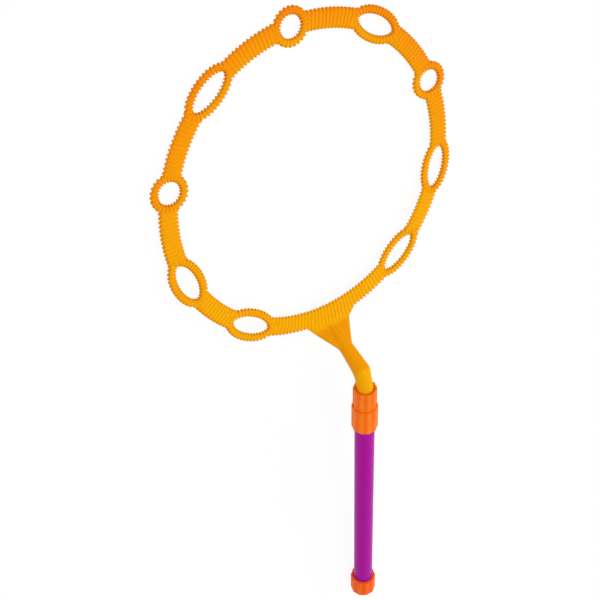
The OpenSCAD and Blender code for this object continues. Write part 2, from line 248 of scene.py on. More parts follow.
def add_node(tree, kind, values=None, **settings):
    """A node of that kind, with its settings and the values of its inputs."""
    node = tree.nodes.new(kind)
    for key, value in settings.items():
        setattr(node, key, value)
    for key, value in (values or {}).items():
        node.inputs[key].default_value = value
    return node


def join(tree, *pairs):
    """Links each pair of an output and an input."""
    for source, target in pairs:
        tree.links.new(source, target)


def moulded_skin_group():
    """Shared by all the moulded pieces: a colour with slow flow marks in the plastic, a
    darker redder painted shade by the wall mask and a paler tone by the mask of wear and
    painted highlight, a roughness that varies with the mould's polish, and the height of a
    fine orange peel with handling scratches."""
    group = bpy.data.node_groups.new("moulded_skin", "ShaderNodeTree")
    face = group.interface
    for name, kind in (("Vector", "NodeSocketVector"), ("Colour", "NodeSocketColor"),
                       ("Deep", "NodeSocketColor"), ("Pale", "NodeSocketColor"),
                       ("Shade", "NodeSocketColor"), ("Wall", "NodeSocketFloat"),
                       ("Wear And Highlight", "NodeSocketFloat"), ("Polish", "NodeSocketFloat"),
                       ("Flow Scale", "NodeSocketFloat")):
        face.new_socket(name=name, in_out="INPUT", socket_type=kind)
    for name, kind in (("Colour", "NodeSocketColor"), ("Roughness", "NodeSocketFloat"),
                       ("Height", "NodeSocketFloat")):
        face.new_socket(name=name, in_out="OUTPUT", socket_type=kind)
    start = add_node(group, "NodeGroupInput")
    end = add_node(group, "NodeGroupOutput")
    flow = add_node(group, "ShaderNodeTexNoise", {"Detail": 3.0, "Roughness": 0.55,
                                                  "Distortion": 1.4})
    peel = add_node(group, "ShaderNodeTexNoise", {"Scale": 900.0, "Detail": 2.0})
    smear = add_node(group, "ShaderNodeTexNoise", {"Scale": 60.0, "Detail": 4.0, "Roughness": 0.7})
    scratch_map = add_node(group, "ShaderNodeMapping", {"Scale": (900.0, 60.0, 500.0),
                                                        "Rotation": (0.3, 0.5, 0.7)})
    scratch = add_node(group, "ShaderNodeTexNoise", {"Scale": 1.0, "Detail": 1.0})
    thin = add_node(group, "ShaderNodeMapRange", {"From Min": 0.68, "From Max": 0.74})
    deeper = add_node(group, "ShaderNodeMapRange", {"From Min": 0.35, "From Max": 0.7,
                                                    "To Max": 0.55})
    mix_deep = add_node(group, "ShaderNodeMix", data_type="RGBA")
    mix_shade = add_node(group, "ShaderNodeMix", data_type="RGBA")
    mix_pale = add_node(group, "ShaderNodeMix", data_type="RGBA")
    rub = add_node(group, "ShaderNodeMath", operation="MULTIPLY")
    wear_and_highlight_patches = add_node(group, "ShaderNodeMapRange", {"From Min": 0.3, "From Max": 0.75,
                                                      "To Max": 0.5})
    vary = add_node(group, "ShaderNodeMapRange", {"From Min": 0.3, "From Max": 0.7,
                                                  "To Min": -0.06, "To Max": 0.08})
    rough = add_node(group, "ShaderNodeMath", operation="ADD")
    rougher = add_node(group, "ShaderNodeMath", {1: 0.12}, operation="MULTIPLY_ADD")
    height = add_node(group, "ShaderNodeMath", {1: -0.6}, operation="MULTIPLY_ADD")
    join(group,
         (start.outputs["Vector"], flow.inputs["Vector"]),
         (start.outputs["Flow Scale"], flow.inputs["Scale"]),
         (start.outputs["Vector"], peel.inputs["Vector"]),
         (start.outputs["Vector"], smear.inputs["Vector"]),
         (start.outputs["Vector"], scratch_map.inputs["Vector"]),
         (scratch_map.outputs["Vector"], scratch.inputs["Vector"]),
         (scratch.outputs["Fac"], thin.inputs["Value"]),
         (flow.outputs["Fac"], deeper.inputs["Value"]),
         (deeper.outputs["Result"], mix_deep.inputs["Factor"]),
         (start.outputs["Colour"], mix_deep.inputs["A"]),
         (start.outputs["Deep"], mix_deep.inputs["B"]),
         (smear.outputs["Fac"], wear_and_highlight_patches.inputs["Value"]),
         (wear_and_highlight_patches.outputs["Result"], rub.inputs[0]), (start.outputs["Wear And Highlight"], rub.inputs[1]),
         (rub.outputs["Value"], mix_pale.inputs["Factor"]),
         (start.outputs["Wall"], mix_shade.inputs["Factor"]),
         (mix_deep.outputs["Result"], mix_shade.inputs["A"]),
         (start.outputs["Shade"], mix_shade.inputs["B"]),
         (mix_shade.outputs["Result"], mix_pale.inputs["A"]),
         (start.outputs["Pale"], mix_pale.inputs["B"]),
         (mix_pale.outputs["Result"], end.inputs["Colour"]),
         (smear.outputs["Fac"], vary.inputs["Value"]),
         (vary.outputs["Result"], rough.inputs[0]), (start.outputs["Polish"], rough.inputs[1]),
         (thin.outputs["Result"], rougher.inputs[0]),
         (rough.outputs["Value"], rougher.inputs[2]),
         (rougher.outputs["Value"], end.inputs["Roughness"]),
         (thin.outputs["Result"], height.inputs[0]), (peel.outputs["Fac"], height.inputs[2]),
         (height.outputs["Value"], end.inputs["Height"]))
    return group


moulded_skin = moulded_skin_group()
peel_height = 0.00002


def moulded_plastic(name, colour, deep, shade_colour, pale, polish, flow_scale, rubbed, specular):
    """A moulded plastic: the shared skin feeds colour, roughness and bump, and the masks that
    the mesh carries say where it is paler by wear and by painted highlight, and where shade
    is painted on."""
    material, tree, shader = new_material(name)
    place = add_node(tree, "ShaderNodeTexCoord")
    rubbed_mask = add_node(tree, "ShaderNodeAttribute", attribute_name="rubbed")
    wall_mask = add_node(tree, "ShaderNodeAttribute", attribute_name="wall")
    amount = add_node(tree, "ShaderNodeMath", {1: rubbed}, operation="MULTIPLY")
    skin_node = add_node(tree, "ShaderNodeGroup", {
        "Colour": (*colour, 1.0), "Deep": (*deep, 1.0), "Shade": (*shade_colour, 1.0),
        "Pale": (*pale, 1.0), "Polish": polish, "Flow Scale": flow_scale},
        node_tree=moulded_skin)
    bump = add_node(tree, "ShaderNodeBump", {"Strength": 0.35, "Distance": peel_height})
    join(tree,
         (place.outputs["Object"], skin_node.inputs["Vector"]),
         (rubbed_mask.outputs["Fac"], amount.inputs[0]),
         (amount.outputs["Value"], skin_node.inputs["Wear And Highlight"]),
         (wall_mask.outputs["Fac"], skin_node.inputs["Wall"]),
         (skin_node.outputs["Colour"], shader.inputs["Base Color"]),
         (skin_node.outputs["Roughness"], shader.inputs["Roughness"]),
         (skin_node.outputs["Height"], bump.inputs["Height"]),
         (bump.outputs["Normal"], shader.inputs["Normal"]))
    shader.inputs["Specular IOR Level"].default_value = specular
    return material


hoop_plastic = moulded_plastic(
    "hoop_plastic", colour=(0.75, 0.39, 0.001), deep=(0.71, 0.335, 0.001),
    shade_colour=(0.74, 0.17, 0.001), pale=(0.80, 0.43, 0.004), polish=0.38, flow_scale=22.0,
    rubbed=0.3, specular=0.025)
# A faint painted glow over every piece in this plastic lifts its shade.
hoop_shader = hoop_plastic.node_tree.nodes["Principled BSDF"]
hoop_shader.inputs["Emission Color"].default_value = (0.9, 0.3, 0.001, 1.0)
hoop_shader.inputs["Emission Strength"].default_value = 0.07
band.data.materials.append(hoop_plastic)
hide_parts("hoop")
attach(band, "hoop")

# ---------------------------------------------------------------- The bubble rings
# Nine small rings stand in the band, round ones and ovals by turns, and each blows its own
# bubble. They are moulded in one with the band, and their ribs stand square to the wall all
# the way round, both into the hole and out from it.
ring_wall = 6.7
ring_pitch = 3.1
ring_columns = 20
# The least share of painted shade on each ring, the share of the band's far-end painted shade that
# it takes, and how much steeper that shade's slope across is.
ring_least_tone = 0.2
ring_far_shade_share = 0.7
ring_slope_times = 2.0


def ring_tube(kind, station):
    """A ring: its middle line is an ellipse walked in even steps of arc length, and round it
    runs a rounded rectangle, cos^0.5 across the wall by sin^0.5 high, that swells from core
    to rib by the rib's rise. Its painted shade follows the band's painted shade round the far
    end, with a steeper slope across. Gives the points, the rise and the share of that painted
    shade."""
    a, b = (size - ring_wall / 2 for size in ring_half_sizes[kind])
    fine = np.linspace(0.0, 2.0 * np.pi, 2881)
    steps = np.hypot(np.diff(a * np.cos(fine)), np.diff(b * np.sin(fine)))
    run = np.concatenate([[0.0], np.cumsum(steps)])
    count = round(run[-1] / ring_pitch)
    places = (np.arange(count)[:, None] + rib_places[None, :]).reshape(-1) / count
    rise = np.tile(rib_rises, count)[:, None]
    t = np.interp((places % 1.0) * run[-1], run, fine)[:, None]
    out = np.stack([b * np.cos(t), a * np.sin(t)], axis=-1)
    out = out / np.linalg.norm(out, axis=-1, keepdims=True)
    u = np.linspace(0.0, 2.0 * np.pi, ring_columns, endpoint=False)[None, :]
    turn = math.radians(station * station_step)
    glow_and_far_shade = far_shade_share(turn, ring_slope_times * np.sin(t))
    wall = np.maximum(painted_wall_shade(np.cos(u), rise), ring_least_tone + ring_far_shade_share * glow_and_far_shade)
    across = (ring_wall / 2 - rib_depth * (1.0 - rise)) * soft_power(np.cos(u), height_power)
    height = core_half_height + (rib_half_height - core_half_height) * rise
    z = height * soft_power(np.sin(u), height_power)
    x = a * np.cos(t) + across * out[..., 0]
    y = b * np.sin(t) + across * out[..., 1] + hoop_radius
    cos, sin = math.cos(turn), math.sin(turn)
    grid = np.stack([x * cos + y * sin, y * cos - x * sin, z], axis=-1)
    return grid, rise + 0.0 * u, wall


tubes = [ring_tube(kind, number) for number, kind in enumerate(stations) if kind != "neck"]
rings = skin("bubble_rings", [(lie_down(grid[:, ::-1]), True) for grid, _, _ in tubes],
             rubbed=[rise for _, rise, _ in tubes], wall=[wall for _, _, wall in tubes])
rings.data.materials.append(hoop_plastic)
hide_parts("hoop")
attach(rings, "hoop")

# ---------------------------------------------------------------- The gusset and the neck
# A flat gusset leaves the band, turns up at a crease and narrows as a web onto the neck,
# which rises out of it as a rounded bar, bends at the knee and ends as a round shank in
# the twist lock. It is the same moulding as the band; its spigot is pressed in the inner tube.
gusset_half_height = 1.5
neck_rise = math.radians(53.8)
neck_len = 46.8
neck_root_radius = 4.7
neck_root_half_height = 2.7
web_len = 29.0
web_tip_half_width = 2.34
shank_rise = math.radians(8.5)
shank_len = 15.3
knee_radius = 2.4
ankle_radius = 11.0
crease_radius = 2.4
handle_lean = math.radians(9.8)
stem_radius = 7.0
seat_drop = 4.0
spigot_radius = 5.77
spigot_len = 22.0

# How far inside the band's middle circle the neck's line starts, at which runs from the
# crease the plate has its first two widths, and from which run on the bar stands free behind.
line_overlap = 2.5
plate_start = -15.0
plate_root = -8.8
bar_free_run = 9.0
# How far the sections' lean reaches on each side of the crease and the knee, between which
# runs from each the rows stand closest, and where and how much the plate thins in the band.
crease_lean_reach = 9.0
knee_lean_reach = 8.0
crease_rows = (-8.0, 10.0)
knee_rows = (-1.5, 1.5)
plate_thins_between = (-10.0, -14.5)
plate_thins = 0.4
# Powers of the plate's superellipse, the octagon and the union of plate and bar, and the
# octagon's slanted faces as a share of the way out to the corners.
plate_power = 9.0
octagon_power = 12.0
union_power = 8
octagon_corner_share = 0.76
# Chamfers at the seat and at the spigot's tip, a row half way along the spigot, and the least
# height of the bar, which keeps its section open where it grows out of the plate.
seat_chamfer = 0.25
spigot_chamfer = 0.8
spigot_row = 10.0
least_height = 0.05
# Shares of painted shade, a darker redder tone, on the gusset, and what rising part and
# shank add to it, and the strength of a painted highlight on the knee's outer corner.
gusset_tone = 0.09
rising_tone = 0.37
shank_tone = 0.17
knee_highlight = 3.0

crease_y = -(hoop_radius + crease_out)
knee_reach = knee_radius * math.tan((neck_rise - shank_rise) / 2)
ankle_reach = ankle_radius * math.tan((shank_rise + handle_lean) / 2)
crease_reach = crease_radius * math.tan(neck_rise / 2)
crease_run = crease_out + line_overlap
# Running lengths at which the neck's line starts and ends each bend, and its slope there.
bend_runs = np.cumsum([
    0.0, crease_run - crease_reach, crease_radius * neck_rise,
    neck_len - crease_reach - knee_reach, knee_radius * (neck_rise - shank_rise),
    shank_len - knee_reach - ankle_reach, ankle_radius * (shank_rise + handle_lean),
    seat_drop + spigot_len])
bend_slopes = np.array([0.0, 0.0, neck_rise, neck_rise, shank_rise, shank_rise,
                        -handle_lean, -handle_lean])
knee_run = (bend_runs[3] + bend_runs[4]) / 2
mouth_run = bend_runs[-2]


def neck_line(runs):
    """The neck's middle line: the slope changes evenly through each bend, and the line is
    the running sum of (-cos slope, sin slope)."""
    fine = np.linspace(0.0, bend_runs[-1], 6001)
    slope = np.interp(fine, bend_runs, bend_slopes)
    step = np.diff(fine)
    mid = (slope[1:] + slope[:-1]) / 2
    y = crease_y + crease_run - np.concatenate([[0.0], np.cumsum(np.cos(mid) * step)])
    z = np.concatenate([[0.0], np.cumsum(np.sin(mid) * step)])
    return np.interp(runs, fine, y), np.interp(runs, fine, z), np.interp(runs, fine, slope)


def superellipse(cos, sin, half_width, half_height, power):
    """Distance from the middle to a superellipse: 1 / ((|cos|/w)^n + (|sin|/h)^n)^(1/n)."""
    total = (np.abs(cos) / half_width) ** power + (np.abs(sin) / half_height) ** power
    return total ** (-1.0 / power)


def soft_octagon(cos, sin, half_width, half_height, corner, power):
    """The same with two more pairs of faces, slanted from side to side at the given share c
    of the way out to the corners: the sum gets (|x + y|^n + |x - y|^n) / (2 c)^n more."""
    x, y = cos / half_width, sin / half_height
    slant = np.abs(x + y) ** power + np.abs(x - y) ** power
    total = np.abs(x) ** power + np.abs(y) ** power + slant / (2.0 * corner) ** power
    return total ** (-1.0 / power)


def neck_surface():
    """Cross-sections along the neck's line. Each is the smooth union of a thin plate, the
    gusset and web, and a bar, the neck, taken as the eighth-power sum of their distances from
    the middle. The plane of the sections leans over slowly through the crease and the knee, so
    that they never cross, and each distance is lengthened by one over the cosine of the
    difference. Past the knee the bar turns into a round shank, and past its seat into the
    spigot. Gives the points, the share of painted shade, which is highest on the rising part,
    and the mask of a painted highlight on the knee's outer corner."""
    crease_from, crease_to = (crease_run + place for place in crease_rows)
    knee_from, knee_to = (knee_run + place for place in knee_rows)
    seat = mouth_run + seat_drop
    runs = np.concatenate([
        np.linspace(0.0, crease_from, 8, endpoint=False),
        np.linspace(crease_from, crease_to, 46, endpoint=False),
        np.linspace(crease_to, knee_run - knee_lean_reach, 36, endpoint=False),
        np.linspace(knee_run - knee_lean_reach, knee_from, 14, endpoint=False),
        np.linspace(knee_from, knee_to, 16, endpoint=False),
        np.linspace(knee_to, mouth_run, 30, endpoint=False),
        [mouth_run, seat - seat_chamfer, seat, seat + 0.01, seat + spigot_row,
         bend_runs[-1] - spigot_chamfer, bend_runs[-1]]])
    y, z, slope = neck_line(runs)
    after = runs - crease_run
    past_knee = runs - knee_run
    lean = neck_rise * smooth_step(-crease_lean_reach, crease_lean_reach, after)
    knee_share = smooth_step(-knee_lean_reach, knee_lean_reach, past_knee)
    lean = lean + (shank_rise - neck_rise) * knee_share
    lean = np.where(past_knee < knee_lean_reach, lean, slope)
    off = 1.0 / np.cos(slope - lean)
    quarter = 0.5 * np.pi * np.linspace(0.0, 1.0, 19) ** 1.9
    around = np.concatenate([quarter[:-1], np.pi - quarter[:0:-1],
                             np.pi + quarter[:-1], 2 * np.pi - quarter[:0:-1]])
    cos, sin = np.cos(around)[None, :], np.sin(around)[None, :]
    top = sin > 0
    width_runs = [plate_start, plate_root, 0.0, web_len]
    widths = [gusset_half_width + 1.0, gusset_half_width, crease_half_width, web_tip_half_width]
    plate_w = np.interp(after, width_runs, widths)[:, None]
    thin = plate_thins * smooth_step(*plate_thins_between, after)
    plate_h = (gusset_half_height * off * (1.0 - thin))[:, None]
    along = np.clip(after / neck_len, 0.0, 1.0)
    radius = neck_root_radius + (stem_radius - neck_root_radius) * along
    rise = neck_root_half_height + (stem_radius - neck_root_half_height) * along
    front = rise - np.clip(-after, 0.0, None) * math.sin(neck_rise)
    front = front / np.cos(neck_rise - np.minimum(lean, neck_rise))
    back = least_height + (rise - least_height) * smooth_step(-2.0, bar_free_run, after)
    free = after > bar_free_run
    front = np.where(free, rise * off, np.clip(front, least_height, None))
    back = np.where(free, rise * off, back)
    bar_h = np.where(top, front[:, None], back[:, None])
    plate = superellipse(cos, sin, plate_w, plate_h, plate_power)
    bar = soft_octagon(cos, sin, radius[:, None], bar_h, octagon_corner_share, octagon_power)
    shank = superellipse(cos, sin, radius[:, None], (radius * off)[:, None], 2.0)
    bar = bar + (shank - bar) * smooth_step(-1.0, stem_radius, past_knee)[:, None]
    reach = (plate**union_power + bar**union_power) ** (1.0 / union_power)
    reach = np.where(after[:, None] > web_len, bar, reach)
    reach = np.where(runs[:, None] > seat + 0.005, spigot_radius, reach)
    reach[-1] -= spigot_chamfer
    y = y[:, None] + reach * sin * np.sin(lean)[:, None]
    z = z[:, None] + reach * sin * np.cos(lean)[:, None]
    rising = smooth_step(-1.0, 5.0, after) - smooth_step(-2.0, 3.0, past_knee)
    tone = gusset_tone + rising_tone * rising + shank_tone * smooth_step(-1.0, 3.0, past_knee)
    knee = smooth_step(-1.6, 0.0, past_knee) * smooth_step(2.4, 0.4, past_knee)
    rubbed = knee_highlight * knee[:, None] * smooth_step(0.4, 0.9, sin)
    return np.stack([reach * cos, y, z], axis=-1), tone[:, None] + 0.0 * reach, rubbed


neck_grid, neck_wall, neck_rubbed = neck_surface()
neck = skin("gusset_and_neck", [(lie_down(neck_grid), False)],
            wall=[neck_wall], rubbed=[neck_rubbed])
neck.data.materials.append(hoop_plastic)
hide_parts("hoop")
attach(neck, "hoop")

# ---------------------------------------------------------------- The inner tube
# A drawn plastic tube in the hoop's colour slides and turns inside the handle and carries
# the hoop on its end. It is hidden while the handle is closed.
handle_up = np.array([0.0, 0.989812, 0.142381])
handle_end = np.array([0.0, -0.299865, 0.0110934])
stem_z = 61.95
stem_top = 275.95
stem_bore = 5.8
stem_chamfer = 0.15
stem_tone = 0.24


def along_handle(points):
    """From the handle's own frame, with Y towards the table and Z up its line from the end
    cap's outer face, in millimetres, to the table's frame in metres."""
    side = np.array([1.0, 0.0, 0.0])
    under = np.cross(handle_up, side)
    x, y, z = points[..., :1], points[..., 1:2], points[..., 2:]
    return handle_end + 0.001 * (x * side + y * under + z * handle_up)


def turned(profile, sides=96):
    """A closed profile of radius and height, carried round the handle's line."""
    t = np.linspace(0.0, 2.0 * np.pi, sides, endpoint=False)[:, None]
    r, h = np.array(profile)[None, :, 0], np.array(profile)[None, :, 1]
    return np.stack([r * np.cos(t), r * np.sin(t), h + 0.0 * t], axis=-1)


def tube_profile(inner, outer, low, high, chamfer):
    """A tube's cut section, its four edges broken by a small chamfer, with rows close to
    each edge so that the smooth shading stays on the wall."""
    c, near = chamfer, 3 * chamfer
    return [(outer - c, low), (outer, low + c), (outer, low + near),
            (outer, high - near), (outer, high - c), (outer - c, high),
            (inner + c, high), (inner, high - c), (inner, high - near),
            (inner, low + near), (inner, low + c), (inner + c, low)]


grid = along_handle(turned(tube_profile(stem_bore, stem_radius, stem_z, stem_top, stem_chamfer)))
inner_tube = skin("sliding_tube", [(grid, True)], wall=[np.full(grid.shape[:2], stem_tone)])
inner_tube.data.materials.append(hoop_plastic)
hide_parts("inner_tube")
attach(inner_tube, "hoop")

# ---------------------------------------------------------------- The stop foot and the collet
# Both are small mouldings in natural white acetal, which slides dry on the coloured tubes. The
# foot is plugged in the inner tube's end and stops it at the ferrule, and the collet is a split
# cone ring that the nut presses onto the tube.
natural_plastic = moulded_plastic(
    "natural_plastic", colour=(0.86, 0.83, 0.74), deep=(0.80, 0.76, 0.66),
    shade_colour=(0.80, 0.76, 0.66), pale=(0.93, 0.91, 0.86), polish=0.5, flow_scale=40.0,
    rubbed=0.3, specular=0.4)
for node in ("stop_foot", "collet"):
    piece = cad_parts[node]
    piece.data.materials.clear()
    piece.data.materials.append(natural_plastic)

# ---------------------------------------------------------------- The clamp nut
# The upper collar is screwed onto the ferrule and clamps the inner tube when it is turned.
# It is moulded in orange, and ten shallow flutes with soft ridges give the fingers a hold.
flutes = 10
flute_depth = 0.7
flute_softness = 0.03
# How much painted shade lies deep in the flutes.
groove_share = 0.4
nut_z = 259.55
nut_h = 20.4
nut_radius = 10.2
nut_bore = 8.2
nut_face_radius = 8.6
nut_edge = 0.45
nut_root_h = 13.4
nut_cone_h = 13.85
nut_seat_h = 16.85
lip_radius = 7.45
flute_places = np.linspace(-0.5, 0.5, 18, endpoint=False)


def fluted(profile, body_radius, depth, count):
    """A closed profile carried round the handle's line. Where the body is fluted, its radius
    is the smooth smaller one of the profile and the flute, D cos a - (c^2 - D^2 sin^2 a)^0.5,
    the near side of a round cutter of radius c at distance D. One flute faces the table.
    Gives the points, a mask of the ridges, paler partly by wear and partly by a painted
    highlight, and the share of painted shade in the flutes."""
    turns = (np.arange(count)[:, None] + flute_places[None, :]).reshape(-1) / count
    t = np.radians(-90.0 + 360.0 * turns)[:, None]
    away = np.radians(360.0 / count) * np.tile(flute_places, count)[:, None]
    cutter = 2.0 * body_radius / 3.0
    reach = body_radius - depth + cutter
    inside = np.clip(cutter**2 - (reach * np.sin(away)) ** 2, 0.0, None)
    flute = np.where(inside > 0.0, reach * np.cos(away) - np.sqrt(inside), body_radius + 5.0)
    flute = np.minimum(flute, body_radius + 2.0)
    r, h, cut = (np.array(profile)[None, :, i] for i in range(3))
    smooth = 0.5 * (r + flute - np.sqrt((r - flute) ** 2 + flute_softness))
    r = np.where(cut > 0.5, smooth, r + 0.0 * flute)
    ridge = smooth_step(body_radius - 0.45, body_radius - 0.12, r)
    hollow = groove_share * smooth_step(body_radius - 0.2, body_radius - depth, r)
    rubbed, groove = np.where(cut > 0.5, ridge, 0.0), np.where(cut > 0.5, hollow, 0.0)
    return np.stack([r * np.cos(t), r * np.sin(t), h + 0.0 * t], axis=-1), rubbed, groove


def round_edge(radius, height, size, start, end, steps=4):
    """Points of a quarter round about a middle, between two angles a in degrees: the middle
    plus size * (cos a, sin a), all in the fluted part."""
    angles = np.radians(np.linspace(start, end, steps + 1))
    return [(radius + size * math.cos(a), height + size * math.sin(a), 1) for a in angles]


# Profiles hold radius, height and whether the flutes cut there. Rows stand close to each edge
# so that the smooth shading stays on the walls.
nut_top = nut_z + nut_h
nut_profile = (
    [(nut_bore + 0.1, nut_z, 0), (nut_radius - 2 * nut_edge, nut_z, 1)]
    + round_edge(nut_radius - nut_edge, nut_z + nut_edge, nut_edge, -90, 0)
    + [(nut_radius, nut_z + 1.4, 1), (nut_radius, nut_z + nut_h / 2, 1),
       (nut_radius, nut_top - 1.4, 1)]
    + round_edge(nut_radius - nut_edge, nut_top - nut_edge, nut_edge, 0, 90)
    + [(nut_face_radius, nut_top, 0), (lip_radius + 0.8, nut_top, 0),
       (lip_radius + 0.4, nut_top - 0.25, 0), (lip_radius, nut_top - 0.9, 0),
       (lip_radius, nut_top - 1.3, 0), (lip_radius, nut_z + nut_seat_h, 0),
       (nut_bore, nut_z + nut_cone_h, 0), (nut_bore, nut_z + nut_root_h, 0),
       (nut_bore, nut_z + 0.5, 0), (nut_bore, nut_z + 0.1, 0)])
grid, rubbed, groove = fluted(nut_profile, nut_radius, flute_depth, flutes)
nut = skin("clamp_nut_collar", [(along_handle(grid), True)], rubbed=[rubbed], wall=[groove])
collar_plastic = moulded_plastic(
    "collar_plastic", colour=(0.90, 0.175, 0.003), deep=(0.83, 0.13, 0.002),
    shade_colour=(0.80, 0.11, 0.002), pale=(0.98, 0.24, 0.02), polish=0.4, flow_scale=60.0,
    rubbed=1.5, specular=0.06)
nut.data.materials.append(collar_plastic)
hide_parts("clamp_nut")
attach(nut, "nut")

# ---------------------------------------------------------------- The ferrule
# The lower collar is glued over the handle tube's end. Its fluted sleeve matches the nut's,
# and its thin neck carries the coarse thread that the nut runs on.
ferrule_z = 233.8
ferrule_h = 25.6
ferrule_radius = 11.3
ferrule_grip = 18.0
ferrule_edge = 0.5
rim_radius = 9.3
guide_radius = 7.15
thread_root = 7.6
thread_len = 11.0
thread_pitch = 3.0
thread_turns = 2.85
thread_start = 1.2
thread_fade = 1.6
tube_radius = 8.7
socket_radius = 8.73
shoulder = ferrule_z + ferrule_h
grip_top = ferrule_z + ferrule_grip
thread_top = shoulder + thread_len

ferrule_profile = (
    [(socket_radius + 0.15, ferrule_z, 0), (ferrule_radius - 2 * ferrule_edge, ferrule_z, 1)]
    + round_edge(ferrule_radius - ferrule_edge, ferrule_z + ferrule_edge, ferrule_edge, -90, 0)
    + [(ferrule_radius, ferrule_z + 1.5, 1), (ferrule_radius, ferrule_z + ferrule_h / 2, 1),
       (ferrule_radius, shoulder - 1.5, 1)]
    + round_edge(ferrule_radius - ferrule_edge, shoulder - ferrule_edge, ferrule_edge, 0, 90)
    + [(rim_radius, shoulder, 0), (thread_root + 0.2, shoulder, 0),
       (thread_root, shoulder + 0.05, 0), (thread_root, shoulder + 0.3, 0),
       (thread_root, thread_top - 0.3, 0), (thread_root - 0.1, thread_top, 0),
       (guide_radius + 0.1, thread_top, 0), (guide_radius, thread_top - 0.1, 0),
       (guide_radius, thread_top - 0.5, 0), (guide_radius, grip_top + 0.1, 0),
       (guide_radius + 0.1, grip_top, 0), (socket_radius - 0.1, grip_top, 0),
       (socket_radius, grip_top - 0.1, 0), (socket_radius, ferrule_z + 0.6, 0),
       (socket_radius, ferrule_z + 0.15, 0)])
grid, rubbed, groove = fluted(ferrule_profile, ferrule_radius, flute_depth, flutes)


def thread_ridge(turns, sides=64):
    """A helix that climbs one pitch a turn, h = h0 + pitch t / 2 pi. Its section is a low
    rounded ridge, which grows out of the neck and sinks back over about a quarter turn."""
    t = np.linspace(0.0, 2.0 * np.pi * turns, int(sides * turns))[:, None]
    full = smooth_step(0.0, thread_fade, np.minimum(t, t[-1] - t))
    across = np.array([-0.95, -0.55, -0.25, 0.25, 0.55, 0.95, 0.5, -0.5])[None, :]
    out = np.array([-0.25, 0.2, 0.44, 0.44, 0.2, -0.25, -0.3, -0.3])[None, :]
    r = thread_root + np.where(out > 0, out * full, out)
    h = shoulder + thread_start + thread_pitch * t / (2.0 * np.pi) + across
    return np.stack([r * np.cos(t), r * np.sin(t), h], axis=-1)[:, ::-1]


thread_grid = thread_ridge(thread_turns)
unmarked = np.zeros(thread_grid.shape[:2])
ferrule = skin("ferrule_collar", [(along_handle(grid), True), (along_handle(thread_grid), False)],
               rubbed=[rubbed, unmarked], wall=[groove, unmarked])
ferrule.data.materials.append(collar_plastic)
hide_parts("ferrule")
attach(ferrule, "handle")

# ---------------------------------------------------------------- The handle tube
# A plain extruded tube in glossy purple, cut square at both ends. It shows the faint lines
# that the die leaves along it and fine scuffs from use.
tube_top = 251.8
tube_bore = 7.8
tube_chamfer = 0.12
cap_floor = 2.2
grid = turned(tube_profile(tube_bore, tube_radius, cap_floor, tube_top, tube_chamfer), 128)
tube = skin("grip_tube", [(along_handle(grid), True)])


